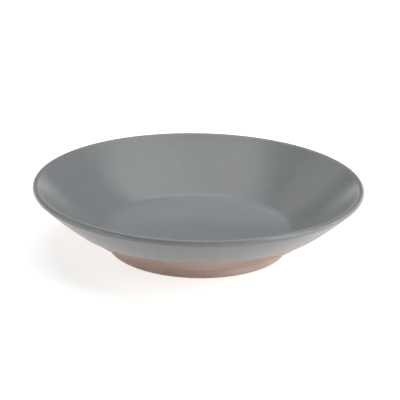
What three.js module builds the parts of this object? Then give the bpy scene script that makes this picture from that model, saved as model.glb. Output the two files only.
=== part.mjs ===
// Deep plate in stoneware: one fired clay body with a turned foot ring, and the glaze coat fused to it.
// The glaze covers the well, the lip and the upper half of the outer wall. Below it the clay is bare.
// Millimetres, +Z up. The origin is on the table, on the plate's axis.
import * as THREE from "three";

// Overall dimensions, measured over the glaze
const RIM_DIAMETER = 220;
const PLATE_HEIGHT = 45;

// Dimensions of the glaze coat
const GLAZE_THICKNESS = 0.5;
const GLAZE_LINE_HEIGHT = 22; // where the coat stops on the outer wall, above the table

// Dimensions of the bare clay
const LIP_THICKNESS = 3.4; // the lip ends in a full round of this thickness
const WALL_THICKNESS = 5.6; // where the wall rises from the floor
const WALL_CURVE_RADIUS = 235; // the slight outward belly of the outer wall
const FLOOR_THICKNESS = 5.8;
const FLOOR_FILLET = 18; // the soft bend between the well's floor and its wall
const FOOT_HEIGHT = 5.5; // table to the corner where the foot meets the wall
const FOOT_TOP_DIAMETER = 124.6;
const FOOT_BASE_DIAMETER = 119;
const FOOT_RING_WIDTH = 6; // across the ring at the table, before its edges are rounded
const FOOT_EDGE_ROUND = 1.2;
const RECESS_DEPTH = 5.2; // table to the underside within the foot ring
const RECESS_DRAFT = 1.5; // how much narrower the recess is at its top
const RECESS_FILLET = 2;

// How finely the round surfaces are cut into flats
const FACETS_AROUND = 64;
const ARC_TOLERANCE = 0.05;
const FEWEST_ARC_STEPS = 2;

// The profile lies in a half plane, where x is the distance from the axis and y is the height.
const point = (radius, height) => new THREE.Vector2(radius, height);
const heading = (from, to) => to.clone().sub(from).angle();
const toward = (angle) => point(Math.cos(angle), Math.sin(angle));
const DOWN = -Math.PI / 2;
const UP = Math.PI / 2;
const OUT = 0;

// The angle turned from one heading to another, the short way round
function turn(from, to) {
  return Math.atan2(Math.sin(to - from), Math.cos(to - from));
}

// Samples along an arc: each has its place and the direction that the clay's surface faces there.
// The surface of a swelling faces away from the arc's centre (1), and that of a hollow faces it (-1).
function arc(centre, radius, start, sweep, facing) {
  const largestStep = 2 * Math.acos(1 - ARC_TOLERANCE / Math.max(radius, ARC_TOLERANCE));
  const steps = Math.max(FEWEST_ARC_STEPS, Math.ceil(Math.abs(sweep) / largestStep));
  return Array.from({ length: steps + 1 }, (_, step) => {
    const outward = toward(start + (sweep * step) / steps);
    return {
      place: centre.clone().addScaledVector(outward, radius),
      facing: outward.multiplyScalar(facing),
    };
  });
}

// One run of samples from several that meet end to end, without the doubled ends
function joined(...runs) {
  return runs.flatMap((run, index) => (index === 0 ? run : run.slice(1)));
}

// The place at one distance from a first place and at another from a second, left of the way between them
function placeAt(first, firstDistance, second, secondDistance) {
  const apart = first.distanceTo(second);
  const along = (apart ** 2 + firstDistance ** 2 - secondDistance ** 2) / (2 * apart);
  const aside = Math.sqrt(firstDistance ** 2 - along ** 2);
  const way = heading(first, second);
  return first.clone().addScaledVector(toward(way), along).addScaledVector(toward(way + UP), aside);
}

// A corner rounded by an arc that touches both of its sides, within half of the shorter one
function roundedCorner(before, corner, after, radius) {
  const back = heading(corner, before);
  const ahead = heading(corner, after);
  const half = turn(back, ahead) / 2;
  const shorterSide = Math.min(corner.distanceTo(before), corner.distanceTo(after));
  const fitted = Math.min(radius, (shorterSide / 2) * Math.tan(Math.abs(half)));
  const centre = corner.clone().addScaledVector(toward(back + half), fitted / Math.sin(Math.abs(half)));
  const start = back - Math.sign(half) * UP;
  const sweep = turn(start, ahead + Math.sign(half) * UP);
  return arc(centre, fitted, start, sweep, 1);
}

// The circles of the lip, the outer wall, the inner wall and the floor's bend, each touching the next
const lipRadius = LIP_THICKNESS / 2;
const lipInset = GLAZE_THICKNESS + lipRadius;
const lipCentre = point(RIM_DIAMETER / 2 - lipInset, PLATE_HEIGHT - lipInset);

const footCorner = point(FOOT_TOP_DIAMETER / 2, FOOT_HEIGHT);
const outerRadius = WALL_CURVE_RADIUS;
const outerCentre = placeAt(footCorner, outerRadius, lipCentre, outerRadius - lipRadius);
const outerAngleAt = (height) => Math.asin((height - outerCentre.y) / outerRadius);

const floorHeight = RECESS_DEPTH + FLOOR_THICKNESS;
const floorAngle = outerAngleAt(floorHeight);
const levelWidth = outerRadius * Math.cos(floorAngle) - WALL_THICKNESS / Math.cos(floorAngle);
const floorCorner = point(outerCentre.x + levelWidth, floorHeight);
const innerRadius = outerRadius - WALL_THICKNESS;
const innerCentre = placeAt(floorCorner, innerRadius, lipCentre, innerRadius + lipRadius);

const bendHeight = floorHeight + FLOOR_FILLET;
const bendReach = Math.sqrt((innerRadius - FLOOR_FILLET) ** 2 - (bendHeight - innerCentre.y) ** 2);
const bendCentre = point(innerCentre.x + bendReach, bendHeight);

// The stretch of clay under the glaze, from the floor's middle over the lip to the glaze line.
// The lip has samples at its crest and at its widest point, so that the overall dimensions are exact.
const wallFoot = heading(innerCentre, bendCentre);
const wallTop = heading(innerCentre, lipCentre);
const lipEnd = heading(outerCentre, lipCentre);
const lipStart = wallTop + Math.PI;
const glazeLine = outerAngleAt(GLAZE_LINE_HEIGHT);
const floorMiddle = { place: point(0, floorHeight), facing: toward(UP) };
const bend = arc(bendCentre, FLOOR_FILLET, DOWN, turn(DOWN, wallFoot), -1);
const innerWall = arc(innerCentre, innerRadius, wallFoot, turn(wallFoot, wallTop), -1);
const lipRun = (start, end) => arc(lipCentre, lipRadius, start, turn(start, end), 1);
const lip = joined(lipRun(lipStart, UP), lipRun(UP, OUT), lipRun(OUT, lipEnd));
const outerWall = arc(outerCentre, outerRadius, lipEnd, turn(lipEnd, glazeLine), 1);
const glazedClay = [floorMiddle, ...joined(bend, innerWall, lip, outerWall)];

// The bare clay, from the glaze line down the wall and under the foot ring to the middle of the recess
const footAngle = heading(outerCentre, footCorner);
const bareWall = arc(outerCentre, outerRadius, glazeLine, turn(glazeLine, footAngle), 1);
const footBase = point(FOOT_BASE_DIAMETER / 2, 0);
const footInside = point(footBase.x - FOOT_RING_WIDTH, 0);
const recessCorner = point(footInside.x - RECESS_DRAFT, RECESS_DEPTH);
const recessMiddle = point(0, RECESS_DEPTH);
const foot = [
  ...roundedCorner(footCorner, footBase, footInside, FOOT_EDGE_ROUND),
  ...roundedCorner(footBase, footInside, recessCorner, FOOT_EDGE_ROUND),
  ...roundedCorner(footInside, recessCorner, recessMiddle, RECESS_FILLET),
  { place: recessMiddle },
];

// The skin of the glaze, which follows the clay at its own thickness and ends in a quarter round on the wall
const edgeAngle = glazeLine + GLAZE_THICKNESS / outerRadius;
const outerWallToEdge = arc(outerCentre, outerRadius, lipEnd, turn(lipEnd, edgeAngle), 1);
const glazedToEdge = [floorMiddle, ...joined(bend, innerWall, lip, outerWallToEdge)];
const skin = glazedToEdge.map(({ place, facing }) => place.clone().addScaledVector(facing, GLAZE_THICKNESS));
const edgeRound = arc(outerWallToEdge.at(-1).place, GLAZE_THICKNESS, edgeAngle, DOWN, 1).slice(1, -1);

// A round solid turned from a profile that leaves the axis on top and comes back to it underneath.
// A lathe's faces point outwards when its profile runs the other way, and its axis is Y until it is stood up.
function turned(name, profile, finish) {
  const geometry = new THREE.LatheGeometry(profile.toReversed(), FACETS_AROUND).rotateX(UP);
  const mesh = new THREE.Mesh(geometry, new THREE.MeshStandardMaterial(finish));
  mesh.name = name;
  return mesh;
}

const placesOf = (samples) => samples.map((sample) => sample.place);
const bareClay = { color: 0xbfa08e, roughness: 0.85, metalness: 0 };
const greyGlaze = { color: 0xa3a6a6, roughness: 0.4, metalness: 0 };

const deepPlate = new THREE.Group();
deepPlate.add(
  turned("stoneware_body", placesOf([...joined(glazedClay, bareWall), ...foot]), bareClay),
  turned("glaze_coat", [...skin, ...placesOf(edgeRound), ...placesOf(glazedClay).reverse()], greyGlaze),
);

export default deepPlate;
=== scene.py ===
"""A deep stoneware plate: bare turned clay under a satin grey glaze, on a white floor in soft light."""

import math

import bmesh
import bpy
from mathutils import Matrix, Vector
from mathutils.geometry import intersect_sphere_sphere_2d


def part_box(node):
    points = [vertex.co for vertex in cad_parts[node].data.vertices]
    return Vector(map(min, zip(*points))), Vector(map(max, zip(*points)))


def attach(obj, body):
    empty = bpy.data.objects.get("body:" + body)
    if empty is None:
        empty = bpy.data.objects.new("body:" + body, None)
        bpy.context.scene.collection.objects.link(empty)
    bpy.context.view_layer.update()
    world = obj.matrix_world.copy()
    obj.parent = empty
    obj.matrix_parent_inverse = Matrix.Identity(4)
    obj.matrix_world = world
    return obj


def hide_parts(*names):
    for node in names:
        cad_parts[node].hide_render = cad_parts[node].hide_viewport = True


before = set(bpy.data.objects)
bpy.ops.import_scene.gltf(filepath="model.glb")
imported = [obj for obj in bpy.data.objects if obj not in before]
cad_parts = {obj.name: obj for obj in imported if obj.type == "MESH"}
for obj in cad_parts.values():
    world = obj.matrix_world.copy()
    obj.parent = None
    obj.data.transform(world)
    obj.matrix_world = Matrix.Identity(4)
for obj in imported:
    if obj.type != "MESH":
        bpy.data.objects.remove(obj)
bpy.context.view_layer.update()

MM = 0.001

# Sizes that the frame gives
glaze_low, glaze_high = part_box("glaze_coat")
clay_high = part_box("stoneware_body")[1]
GLAZE_THICKNESS = glaze_high.x - clay_high.x
FLOOR_HEIGHT = glaze_low.z  # the well's floor, under the glaze

# Sizes of the clay body
LIP_THICKNESS = 3.4 * MM  # the lip ends in a full round of this thickness
WALL_THICKNESS = 5.6 * MM  # where the wall rises from the floor
WALL_CURVE_RADIUS = 235 * MM  # the slight outward belly of the outer wall
FLOOR_FILLET = 18 * MM  # the soft bend between the well's floor and its wall
FOOT_HEIGHT = 5.5 * MM  # table to the corner where the foot meets the wall
FOOT_TOP_RADIUS = 62.3 * MM
FOOT_BASE_RADIUS = 59.5 * MM
FOOT_SIDE_CURVE = 10 * MM  # the slight swelling of the foot's side
FOOT_CORNER_ROUND = 1 * MM
FOOT_RING_WIDTH = 6 * MM  # across the ring at the table, before its edges are rounded
FOOT_EDGE_ROUND = 1.2 * MM
RECESS_DEPTH = 5.2 * MM  # table to the underside within the foot ring
RECESS_DRAFT = 1.5 * MM  # how much narrower the recess is at its top
RECESS_FILLET = 2 * MM

# The glaze line wanders round the plate, as the edge of a dipped glaze does.
# Each wave has its count round the plate, its height and the angle of one of its crests.
GLAZE_LINE_HEIGHT = 22 * MM
GLAZE_LINE_WAVES = (
    (2, 0.9 * MM, math.radians(-50)),
    (3, 1.2 * MM, math.radians(-92)),
    (5, 0.4 * MM, math.radians(-86)),
    (11, 0.12 * MM, math.radians(20)),
)
GLAZE_PULL_REACH = 14 * MM  # how far above the line the coat moves with it
GLAZE_THIN_REACH = 2 * MM  # how far above the line the coat looks thin

# How finely the turned surfaces are cut
SECTORS = 8
STEPS_IN_SECTOR = 32
ARC_SPACING = 0.6 * MM
FEWEST_ARC_STEPS = 6
CORNER_STEPS = 6
MERGE_DISTANCE = 0.001 * MM

UP = math.pi / 2
DOWN = -math.pi / 2


def turn(start, end):
    """The angle from one heading to another, the short way round."""
    return math.atan2(math.sin(end - start), math.cos(end - start))


def heading(start, end):
    """The direction from one place of the section to another, as an angle from level."""
    way = end - start
    return math.atan2(way.y, way.x)


def upper_meeting(first, first_distance, second, second_distance):
    """The higher of the two places that lie at those distances from two others."""
    found = intersect_sphere_sphere_2d(first, first_distance, second, second_distance)
    return max(found, key=lambda place: place.y)


# The circles that the section is drawn from, each touching the next.
# In the section, x is the distance from the plate's axis and y is the height.
lip_radius = LIP_THICKNESS / 2
lip_centre = Vector((clay_high.x - lip_radius, clay_high.z - lip_radius))
foot_corner = Vector((FOOT_TOP_RADIUS, FOOT_HEIGHT))
outer_radius = WALL_CURVE_RADIUS
outer_centre = upper_meeting(foot_corner, outer_radius, lip_centre, outer_radius - lip_radius)
floor_angle = math.asin((FLOOR_HEIGHT - outer_centre.y) / outer_radius)
floor_reach = outer_radius * math.cos(floor_angle) - WALL_THICKNESS / math.cos(floor_angle)
floor_corner = Vector((outer_centre.x + floor_reach, FLOOR_HEIGHT))
inner_radius = outer_radius - WALL_THICKNESS
inner_centre = upper_meeting(floor_corner, inner_radius, lip_centre, inner_radius + lip_radius)
bend_height = FLOOR_HEIGHT + FLOOR_FILLET
bend_reach = math.sqrt((inner_radius - FLOOR_FILLET) ** 2 - (bend_height - inner_centre.y) ** 2)
bend_centre = Vector((inner_centre.x + bend_reach, bend_height))
foot_base = Vector((FOOT_BASE_RADIUS, 0))
side_centre = upper_meeting(foot_corner, FOOT_SIDE_CURVE, foot_base, FOOT_SIDE_CURVE)
corner_centre = upper_meeting(outer_centre, outer_radius + FOOT_CORNER_ROUND,
                              side_centre, FOOT_SIDE_CURVE + FOOT_CORNER_ROUND)
edge_distance = FOOT_SIDE_CURVE - FOOT_EDGE_ROUND
edge_reach = math.sqrt(edge_distance ** 2 - (side_centre.y - FOOT_EDGE_ROUND) ** 2)
edge_centre = Vector((side_centre.x + edge_reach, FOOT_EDGE_ROUND))

# The headings at which one circle hands over to the next
wall_foot = heading(inner_centre, bend_centre)
wall_top = heading(inner_centre, lip_centre)
lip_end = heading(outer_centre, lip_centre)
lip_sweep = turn(wall_top + math.pi, UP) + turn(UP, lip_end)
glaze_line = math.asin((GLAZE_LINE_HEIGHT - outer_centre.y) / outer_radius)
wall_base = heading(outer_centre, corner_centre)
side_top = heading(side_centre, corner_centre)
side_end = heading(side_centre, edge_centre)


def line_to(section, last, radius, height):
    """Draws a section on from its last point to a new one, which it returns."""
    new = bmesh.ops.extrude_vert_indiv(section, verts=[last])["verts"][0]
    new.co = (radius, 0, height)
    return new


def arc_round(section, last, centre, sweep):
    """Draws a section on from its last point round a centre, and returns the new last point."""
    middle = Vector((centre.x, 0, centre.y))
    length = abs(sweep) * (last.co - middle).length
    steps = max(FEWEST_ARC_STEPS, round(length / ARC_SPACING))
    arc = bmesh.ops.spin(section, geom=[last], cent=middle, axis=(0, -1, 0), angle=sweep, steps=steps)
    return arc["geom_last"][0]


def round_corner(section, corner, before, after, radius):
    """Rounds a corner of a section, between its two neighbours, to a radius."""
    half = (before - corner.co).angle(after - corner.co) / 2
    bmesh.ops.bevel(section, geom=[corner], offset=radius / math.tan(half), offset_type="OFFSET",
                    segments=CORNER_STEPS, profile=0.5, affect="VERTICES", material=-1)


def turn_round(section):
    """Turns a section about the plate's axis into a shape with smooth faces that point outwards."""
    # One sector is turned in fine steps, and the others are copies of it
    share = 2 * math.pi / SECTORS
    bmesh.ops.spin(section, geom=section.verts[:] + section.edges[:], cent=(0, 0, 0), axis=(0, 0, 1),
                   angle=share, steps=STEPS_IN_SECTOR)
    sector = section.verts[:] + section.edges[:] + section.faces[:]
    bmesh.ops.spin(section, geom=sector, cent=(0, 0, 0), axis=(0, 0, 1),
                   angle=2 * math.pi - share, steps=SECTORS - 1, use_duplicate=True)
    bmesh.ops.remove_doubles(section, verts=section.verts[:], dist=MERGE_DISTANCE)
    bmesh.ops.recalc_face_normals(section, faces=section.faces[:])
    for face in section.faces:
        face.smooth = True


def new_object(shape, name, material):
    """Makes a finished shape an object of the scene, with its material."""
    mesh = bpy.data.meshes.new(name)
    shape.to_mesh(mesh)
    shape.free()
    mesh.materials.append(material)
    piece = bpy.data.objects.new(name, mesh)
    bpy.context.scene.collection.objects.link(piece)
    return piece


def make_clay_body(material):
    """The fired clay, drawn from the floor's middle over the lip and down to the foot ring's recess."""
    section = bmesh.new()
    last = section.verts.new((0, 0, FLOOR_HEIGHT))
    last = line_to(section, last, bend_centre.x, FLOOR_HEIGHT)
    last = arc_round(section, last, bend_centre, turn(DOWN, wall_foot))
    last = arc_round(section, last, inner_centre, turn(wall_foot, wall_top))
    last = arc_round(section, last, lip_centre, lip_sweep)
    last = arc_round(section, last, outer_centre, turn(lip_end, wall_base))
    last = arc_round(section, last, corner_centre, turn(wall_base, side_top))
    last = arc_round(section, last, side_centre, turn(side_top, side_end))
    base = arc_round(section, last, edge_centre, turn(side_end, DOWN))
    foot_inside = FOOT_BASE_RADIUS - FOOT_RING_WIDTH
    inside = line_to(section, base, foot_inside, 0)
    recess = line_to(section, inside, foot_inside - RECESS_DRAFT, RECESS_DEPTH)
    middle = line_to(section, recess, 0, RECESS_DEPTH)
    places = [point.co.copy() for point in (base, inside, recess, middle)]
    round_corner(section, inside, places[0], places[2], FOOT_EDGE_ROUND)
    round_corner(section, recess, places[1], places[3], RECESS_FILLET)
    turn_round(section)
    piece = new_object(section, "clay_body", material)
    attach(piece, "root")
    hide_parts("stoneware_body")


def wander_glaze_line(coat):
    """Pulls the coat's edge up and down the outer wall in waves, and marks where it looks thin."""
    thin = coat.verts.layers.float.new("thin")
    for vert in coat.verts:
        place = Vector((vert.co.xy.length, vert.co.z))
        # The well and the crest of the lip lie inside the outer wall's circle
        if (place - outer_centre).length < outer_radius - MERGE_DISTANCE:
            continue
        above = outer_radius * turn(glaze_line, heading(outer_centre, place))
        vert[thin] = max(0, 1 - above / GLAZE_THIN_REACH)
        around = math.atan2(vert.co.y, vert.co.x)
        rise = sum(height * math.cos(count * (around - crest))
                   for count, height, crest in GLAZE_LINE_WAVES)
        pull = max(0, 1 - above / GLAZE_PULL_REACH)
        along_wall = Matrix.Rotation(pull * rise / outer_radius, 2)
        moved = outer_centre + along_wall @ (place - outer_centre)
        vert.co = (moved.x * math.cos(around), moved.x * math.sin(around), moved.y)


def make_glaze_coat(material):
    """The glaze, drawn along its skin from the floor's middle to its edge, and back along the clay."""
    skin_floor = FLOOR_HEIGHT + GLAZE_THICKNESS
    edge = glaze_line + GLAZE_THICKNESS / outer_radius
    rim_centre = outer_centre + outer_radius * Vector((math.cos(edge), math.sin(edge)))
    section = bmesh.new()
    last = section.verts.new((0, 0, skin_floor))
    last = line_to(section, last, bend_centre.x, skin_floor)
    last = arc_round(section, last, bend_centre, turn(DOWN, wall_foot))
    last = arc_round(section, last, inner_centre, turn(wall_foot, wall_top))
    last = arc_round(section, last, lip_centre, lip_sweep)
    last = arc_round(section, last, outer_centre, turn(lip_end, edge))
    last = arc_round(section, last, rim_centre, DOWN)
    last = arc_round(section, last, outer_centre, turn(edge, lip_end))
    last = arc_round(section, last, lip_centre, -lip_sweep)
    last = arc_round(section, last, inner_centre, turn(wall_top, wall_foot))
    last = arc_round(section, last, bend_centre, turn(wall_foot, DOWN))
    line_to(section, last, 0, FLOOR_HEIGHT)
    turn_round(section)
    wander_glaze_line(section)
    piece = new_object(section, "glaze", material)
    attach(piece, "root")
    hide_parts("glaze_coat")


def linear(code):
    """An sRGB hex colour as the linear red, green, blue and alpha that Blender works in."""
    parts = [int(code[place:place + 2], 16) / 255 for place in (1, 3, 5)]
    return tuple(c / 12.92 if c <= 0.04045 else ((c + 0.055) / 1.055) ** 2.4 for c in parts) + (1.0,)


def add_node(tree, kind, inputs=None, **settings):
    """Adds a node. Each input is a value, a socket, or a node whose first output is linked."""
    node = tree.nodes.new(kind)
    for name, value in settings.items():
        setattr(node, name, value)
    for name, value in (inputs or {}).items():
        socket = next(s for s in node.inputs if s.enabled and name in (s.name, s.identifier))
        if isinstance(value, bpy.types.Node):
            value = next(s for s in value.outputs if s.enabled)
        if isinstance(value, bpy.types.NodeSocket):
            tree.links.new(value, socket)
        else:
            socket.default_value = value
    return node


def new_material(name):
    """An empty node material and its tree."""
    material = bpy.data.materials.new(name)
    material.use_nodes = True
    material.node_tree.nodes.clear()
    return material, material.node_tree


# Fired clay and glaze bend light alike
CERAMIC_IOR = 1.5

# The glaze's pattern: clouds where it lay thicker, a fine mottle and small iron specks from the clay.
# The floor of the well is painted paler, as painted light from the top, and is smoother
GLAZE_CLOUD_SIZE = 38 * MM
GLAZE_MOTTLE_SIZE = 4 * MM
GLAZE_MOTTLE_SHARE = 0.4
GLAZE_TONE_LOW = 0.45
GLAZE_TONE_HIGH = 0.95
GLAZE_SPECK_SPACING = 11 * MM
GLAZE_SPECK_RADIUS = 0.55 * MM
GLAZE_SPECK_CORE = 0.3  # the share of the radius that is darkest
GLAZE_SPECK_STRENGTH = 0.55
GLAZE_PEEL_SIZE = 5 * MM
GLAZE_PEEL_HEIGHT = 0.02 * MM
GLAZE_FLOOR_FADE_HEIGHT = 3 * MM
GLAZE_EDGE_WARMTH = 0.5
GLAZE_ROUGHNESS_LOW = 0.24
GLAZE_ROUGHNESS_HIGH = 0.265
GLAZE_FLOOR_ROUGHNESS = -0.07  # added on the floor of the well


def satin_glaze():
    """Satin stoneware glaze, dipped and fired. It gives the eye a calm grey with soft highlights."""
    material, tree = new_material("satin_grey_glaze")
    place = add_node(tree, "ShaderNodeTexCoord").outputs["Object"]
    clouds = add_node(tree, "ShaderNodeTexNoise", {
        "Vector": place, "Scale": 1 / GLAZE_CLOUD_SIZE, "Detail": 3,
    })
    mottle = add_node(tree, "ShaderNodeTexNoise", {
        "Vector": place, "Scale": 1 / GLAZE_MOTTLE_SIZE, "Detail": 2,
    })
    tone = add_node(tree, "ShaderNodeMath", {
        "Value": mottle, "Value_001": GLAZE_MOTTLE_SHARE, "Value_002": clouds,
    }, operation="MULTIPLY_ADD")
    depth = add_node(tree, "ShaderNodeMapRange", {
        "Value": tone, "From Min": GLAZE_TONE_LOW, "From Max": GLAZE_TONE_HIGH,
    })
    grey = add_node(tree, "ShaderNodeMix", {
        "Factor": depth, "A": linear("#8c8f91"), "B": linear("#929597"),
    }, data_type="RGBA")

    # Painted light: the floor of the well, which faces up to the top light, is painted a paler grey
    # that fades out up the bend
    height = add_node(tree, "ShaderNodeSeparateXYZ", {"Vector": place}).outputs["Z"]
    floor_level = FLOOR_HEIGHT + GLAZE_THICKNESS
    well_floor = add_node(tree, "ShaderNodeMapRange", {
        "Value": height, "From Min": floor_level, "From Max": floor_level + GLAZE_FLOOR_FADE_HEIGHT,
        "To Min": 1.0, "To Max": 0.0,
    }, interpolation_type="SMOOTHSTEP")
    floor_painted_lighter = add_node(tree, "ShaderNodeMix", {
        "Factor": well_floor, "A": grey, "B": linear("#9ba0a3"),
    }, data_type="RGBA")

    # Iron specks that have bled through to the surface
    cells = add_node(tree, "ShaderNodeTexVoronoi", {"Vector": place, "Scale": 1 / GLAZE_SPECK_SPACING})
    speck_edge = GLAZE_SPECK_RADIUS / GLAZE_SPECK_SPACING
    specks = add_node(tree, "ShaderNodeMapRange", {
        "Value": cells.outputs["Distance"],
        "From Min": GLAZE_SPECK_CORE * speck_edge, "From Max": speck_edge,
        "To Min": GLAZE_SPECK_STRENGTH, "To Max": 0.0,
    })
    specked = add_node(tree, "ShaderNodeMix", {
        "Factor": specks, "A": floor_painted_lighter, "B": linear("#55504b"),
    }, data_type="RGBA")

    # The clay's warmth shows through where the coat thins out to its edge
    thin = add_node(tree, "ShaderNodeAttribute", attribute_name="thin").outputs["Fac"]
    warmth = add_node(tree, "ShaderNodeMath", {
        "Value": thin, "Value_001": GLAZE_EDGE_WARMTH,
    }, operation="MULTIPLY")
    colour = add_node(tree, "ShaderNodeMix", {
        "Factor": warmth, "A": specked, "B": linear("#aaa39b"),
    }, data_type="RGBA")

    # The floor of the well is the smoother part
    satin = add_node(tree, "ShaderNodeMapRange", {
        "Value": tone, "From Min": GLAZE_TONE_LOW, "From Max": GLAZE_TONE_HIGH,
        "To Min": GLAZE_ROUGHNESS_LOW, "To Max": GLAZE_ROUGHNESS_HIGH,
    })
    roughness = add_node(tree, "ShaderNodeMath", {
        "Value": well_floor, "Value_001": GLAZE_FLOOR_ROUGHNESS, "Value_002": satin,
    }, operation="MULTIPLY_ADD")

    # The faint waviness that a glaze keeps from the kiln
    peel = add_node(tree, "ShaderNodeTexNoise", {
        "Vector": place, "Scale": 1 / GLAZE_PEEL_SIZE, "Detail": 1,
    })
    bump = add_node(tree, "ShaderNodeBump", {
        "Height": peel, "Strength": 1.0, "Distance": GLAZE_PEEL_HEIGHT,
    })
    shader = add_node(tree, "ShaderNodeBsdfPrincipled", {
        "Base Color": colour, "Roughness": roughness, "IOR": CERAMIC_IOR, "Normal": bump,
    })
    add_node(tree, "ShaderNodeOutputMaterial", {"Surface": shader})
    return material


# The clay's pattern: soft patches from the firing, dark grit, and the rings that the turning tool left.
# Grit and rings are drawn coarser than the real ones, which would be too fine to show.
CLAY_PATCH_SIZE = 22 * MM
CLAY_GRAIN_SIZE = 1.5 * MM
CLAY_GRAIN_HEIGHT = 0.05 * MM
CLAY_GRAIN_SHARE = 0.5
CLAY_TONE_LOW = 0.5
CLAY_TONE_HIGH = 1.0
CLAY_GRIT_SPACING = 3.5 * MM
CLAY_GRIT_RADIUS = 0.4 * MM
CLAY_GRIT_CORE = 0.4  # the share of the radius that is darkest
CLAY_GRIT_STRENGTH = 0.6
CLAY_RING_SPACING = 1.6 * MM
CLAY_RING_HEIGHT = 0.03 * MM
CLAY_RING_WOBBLE = 1.5
CLAY_GRAIN_LOW = 0.3
CLAY_GRAIN_HIGH = 0.7
CLAY_ROUGHNESS_LOW = 0.72
CLAY_ROUGHNESS_HIGH = 0.9
WAVE_TEXTURE_PERIOD = 2 * math.pi / 20  # of Blender's wave texture at a scale of 1


def bare_clay():
    """Stoneware clay, turned and fired bare. It gives the eye a dry, warm and slightly gritty matt."""
    material, tree = new_material("bare_stoneware")
    place = add_node(tree, "ShaderNodeTexCoord").outputs["Object"]
    patches = add_node(tree, "ShaderNodeTexNoise", {
        "Vector": place, "Scale": 1 / CLAY_PATCH_SIZE, "Detail": 4,
    })
    grain = add_node(tree, "ShaderNodeTexNoise", {
        "Vector": place, "Scale": 1 / CLAY_GRAIN_SIZE, "Detail": 3,
    })
    tone = add_node(tree, "ShaderNodeMath", {
        "Value": grain, "Value_001": CLAY_GRAIN_SHARE, "Value_002": patches,
    }, operation="MULTIPLY_ADD")
    warmth = add_node(tree, "ShaderNodeMapRange", {
        "Value": tone, "From Min": CLAY_TONE_LOW, "From Max": CLAY_TONE_HIGH,
    })
    clay = add_node(tree, "ShaderNodeMix", {
        "Factor": warmth, "A": linear("#d4bbaf"), "B": linear("#e8d3ca"),
    }, data_type="RGBA")

    # Dark grit in the clay
    cells = add_node(tree, "ShaderNodeTexVoronoi", {"Vector": place, "Scale": 1 / CLAY_GRIT_SPACING})
    grit_edge = CLAY_GRIT_RADIUS / CLAY_GRIT_SPACING
    grit = add_node(tree, "ShaderNodeMapRange", {
        "Value": cells.outputs["Distance"],
        "From Min": CLAY_GRIT_CORE * grit_edge, "From Max": grit_edge,
        "To Min": CLAY_GRIT_STRENGTH, "To Max": 0.0,
    })
    colour = add_node(tree, "ShaderNodeMix", {
        "Factor": grit, "A": clay, "B": linear("#7a6252"),
    }, data_type="RGBA")

    # The turning rings, and the grain of the dry surface over them
    rings = add_node(tree, "ShaderNodeTexWave", {
        "Vector": place, "Scale": WAVE_TEXTURE_PERIOD / CLAY_RING_SPACING,
        "Distortion": CLAY_RING_WOBBLE, "Detail": 1,
    }, wave_type="RINGS", rings_direction="Z")
    turned = add_node(tree, "ShaderNodeBump", {
        "Height": rings, "Strength": 1.0, "Distance": CLAY_RING_HEIGHT,
    })
    gritty = add_node(tree, "ShaderNodeBump", {
        "Height": grain, "Strength": 1.0, "Distance": CLAY_GRAIN_HEIGHT, "Normal": turned,
    })
    roughness = add_node(tree, "ShaderNodeMapRange", {
        "Value": grain, "From Min": CLAY_GRAIN_LOW, "From Max": CLAY_GRAIN_HIGH,
        "To Min": CLAY_ROUGHNESS_LOW, "To Max": CLAY_ROUGHNESS_HIGH,
    })
    shader = add_node(tree, "ShaderNodeBsdfPrincipled", {
        "Base Color": colour, "Roughness": roughness, "IOR": CERAMIC_IOR, "Normal": gritty,
    })
    add_node(tree, "ShaderNodeOutputMaterial", {"Surface": shader})
    return material


# The camera, at the photograph's angle
CAMERA_DISTANCE = 990 * MM
CAMERA_ELEVATION = math.radians(20.37)
CAMERA_ROLL = math.radians(1.08)
CAMERA_LENS = 132.75  # the focal length, which Blender takes in millimetres
SIGHT_FROM = Vector((0, 0, 22 * MM))
SIGHT_TO = Vector((1.17 * MM, 3.33 * MM, 30.53 * MM))


def make_camera():
    """The camera stands in front of the plate, looks a little above its middle and leans slightly."""
    back = Vector((0, -math.cos(CAMERA_ELEVATION), math.sin(CAMERA_ELEVATION)))
    data = bpy.data.cameras.new("camera")
    data.lens = CAMERA_LENS
    camera = bpy.data.objects.new("camera", data)
    bpy.context.scene.collection.objects.link(camera)
    camera.location = SIGHT_FROM + CAMERA_DISTANCE * back
    facing = (SIGHT_TO - camera.location).to_track_quat("-Z", "Y").to_matrix()
    lean = Matrix.Rotation(CAMERA_ROLL, 3, "Z")
    camera.rotation_euler = (facing @ lean).to_euler()
    bpy.context.scene.camera = camera


# The studio's floor, in metres: a wide white disc that curves up far outside the picture.
# Its glow is weaker near the plate, where it shows a shadow, and reaches white at the far distance.
SWEEP_RADIUS = 1.8
SWEEP_CURVE = 0.5
SWEEP_CURVE_STEPS = 16
SWEEP_SINK = -0.05 * MM  # just under the table's height, so that it doesn't cut into the foot
SWEEP_NEAR = 0.3
SWEEP_FAR = 1.2
SWEEP_GLOW_NEAR = 0.68
SWEEP_GLOW_FAR = 1.0


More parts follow.
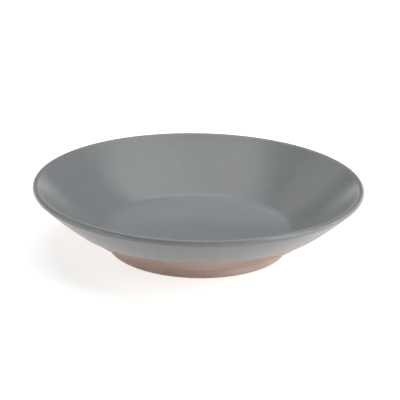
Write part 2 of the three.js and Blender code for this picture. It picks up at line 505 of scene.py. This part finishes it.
def white_paint():
    """Matt white paint, with a glow that only the camera and the reflections in the glaze see."""
    material, tree = new_material("white_paint")
    path = add_node(tree, "ShaderNodeLightPath")
    seen = path.outputs["Is Camera Ray"]
    for kind in ("Is Glossy Ray", "Is Transmission Ray"):
        seen = add_node(tree, "ShaderNodeMath", {
            "Value": seen, "Value_001": path.outputs[kind],
        }, operation="MAXIMUM")
    place = add_node(tree, "ShaderNodeTexCoord").outputs["Object"]
    distance = add_node(tree, "ShaderNodeVectorMath", {"Vector": place}, operation="LENGTH")
    level = add_node(tree, "ShaderNodeMapRange", {
        "Value": distance, "From Min": SWEEP_NEAR, "From Max": SWEEP_FAR,
        "To Min": SWEEP_GLOW_NEAR, "To Max": SWEEP_GLOW_FAR,
    })
    strength = add_node(tree, "ShaderNodeMath", {
        "Value": seen, "Value_001": level,
    }, operation="MULTIPLY")
    paint = add_node(tree, "ShaderNodeBsdfDiffuse", {"Color": linear("#f0ede8")})
    glow = add_node(tree, "ShaderNodeEmission", {"Strength": strength})
    both = add_node(tree, "ShaderNodeAddShader", {"Shader": paint, "Shader_001": glow})
    add_node(tree, "ShaderNodeOutputMaterial", {"Surface": both})
    return material


def make_sweep():
    """The white floor, which curves up all round like a studio's paper sweep."""
    section = bmesh.new()
    last = section.verts.new((0, 0, SWEEP_SINK))
    last = line_to(section, last, SWEEP_RADIUS, SWEEP_SINK)
    curve_centre = (SWEEP_RADIUS, 0, SWEEP_SINK + SWEEP_CURVE)
    bmesh.ops.spin(section, geom=[last], cent=curve_centre, axis=(0, -1, 0), angle=UP,
                   steps=SWEEP_CURVE_STEPS)
    turn_round(section)
    # It is an open sheet, so the faces that came out pointing down are turned over
    bmesh.ops.reverse_faces(section, faces=[face for face in section.faces if face.normal.z < 0])
    new_object(section, "floor", white_paint())


# The lamps: a soft sky above, low soft panels that are brightest on the right, and a small key that
# draws a bright line along the lip. Each has its place, what it faces, its width and its height, in
# metres, and its power in watts.
PLATE_MIDDLE = (0, 0, 0.03)
LAMPS = (
    ("top_softbox", (0.1, 0.3, 1.1), (0.1, 0.3, 0), 1.2, 0.9, 7.2),
    ("right_key", (0.74, -0.49, 0.81), PLATE_MIDDLE, 0.28, 0.22, 2.1),
    ("right_panel", (0.99, -0.53, 0.43), PLATE_MIDDLE, 0.5, 0.6, 5.0),
    ("right_strip", (1.0, 0, 0.03), PLATE_MIDDLE, 0.7, 0.06, 1.5),
    ("left_panel", (-1.18, 0, 0.43), PLATE_MIDDLE, 0.8, 0.6, 1.8),
    ("left_strip", (-1.03, -0.59, 0.17), PLATE_MIDDLE, 0.5, 0.15, 1.8),
    ("back_panel", (-0.4, 0.85, 0.74), PLATE_MIDDLE, 0.9, 0.5, 1.0),
)
ROOM_LIGHT = 0.03


def make_lamp(name, place, aim, width, height, power):
    """A soft rectangular lamp that faces a place."""
    data = bpy.data.lights.new(name, "AREA")
    data.shape = "RECTANGLE"
    data.size = width
    data.size_y = height
    data.energy = power
    lamp = bpy.data.objects.new(name, data)
    bpy.context.scene.collection.objects.link(lamp)
    lamp.location = place
    lamp.rotation_euler = (Vector(aim) - lamp.location).to_track_quat("-Z", "Y").to_euler()


def make_world():
    """The dim room beyond the lamps."""
    world = bpy.data.worlds.new("studio")
    world.use_nodes = True
    tree = world.node_tree
    tree.nodes.clear()
    room = add_node(tree, "ShaderNodeBackground", {"Color": linear("#ffffff"), "Strength": ROOM_LIGHT})
    add_node(tree, "ShaderNodeOutputWorld", {"Surface": room})
    bpy.context.scene.world = world


# The whole scene
make_camera()
make_clay_body(bare_clay())
make_glaze_coat(satin_glaze())
make_sweep()
make_world()
for lamp_settings in LAMPS:
    make_lamp(*lamp_settings)
bpy.context.scene.view_settings.view_transform = "Standard"
